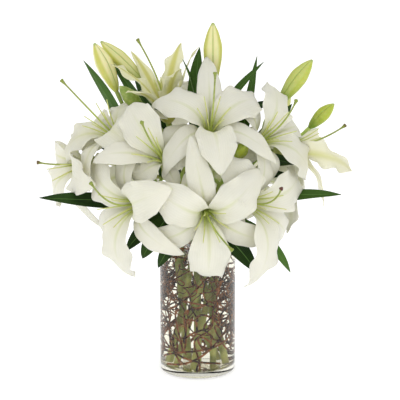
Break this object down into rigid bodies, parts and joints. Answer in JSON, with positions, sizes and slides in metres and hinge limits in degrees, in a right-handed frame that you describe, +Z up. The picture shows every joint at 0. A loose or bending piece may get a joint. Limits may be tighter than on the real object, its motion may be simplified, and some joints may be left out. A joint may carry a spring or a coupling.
{
  "type": "lilies in a vase",
  "caption": "Bouquet of white lilies with buds and dark leaves in a clear glass cylinder vase, its inside lined with curly willow twigs and part filled with water.",
  "frame": {"origin": "centre of the vase's flat underside", "axes": "+Z up along the vase, -Y towards the front of the bouquet, +X to the right as seen from the front"},
  "size_m": [0.4083, 0.3205, 0.468],
  "materials": {
    "petal": "soft satin white petal",
    "stamen": "smooth pale green",
    "bud": "smooth yellow-green",
    "leaf": "waxy dark green",
    "twig": "smooth red-brown bark",
    "glass": "clear polished glass",
    "water": "clear water"
  },
  "bodies": {
    "root": {"bloom_back": "petal", "bloom_back_left": "petal", "bloom_back_right": "petal", "bloom_back_top": "petal", "bloom_far_right": "petal", "bloom_front": "petal", "bloom_front_left": "petal", "bloom_left": "petal", "bloom_middle_left": "petal", "bloom_opening": "petal", "bloom_right": "petal", "bloom_top": "petal", "bloom_upper_left": "petal", "bloom_upper_right": "petal", "bud_back_right": "bud", "bud_green_left": "bud", "bud_inner_right": "bud", "bud_long_left": "bud", "bud_pale_left": "bud", "bud_right": "bud", "bud_small_right": "bud", "bud_tall": "bud", "stamens_back": "stamen", "stamens_back_left": "stamen", "stamens_back_right": "stamen", "stamens_back_top": "stamen", "stamens_far_right": "stamen", "stamens_front": "stamen", "stamens_front_left": "stamen", "stamens_left": "stamen", "stamens_middle_left": "stamen", "stamens_opening": "stamen", "stamens_right": "stamen", "stamens_top": "stamen", "stamens_upper_left": "stamen", "stamens_upper_right": "stamen", "stem_back_left": "leaf", "stem_back_right": "leaf", "stem_far_right": "leaf", "stem_front": "leaf", "stem_front_left": "leaf", "stem_left": "leaf", "stem_middle": "leaf", "stem_right": "leaf", "vase": "glass", "water": "water", "willow_twigs": "twig"}
  },
  "joints": []
}
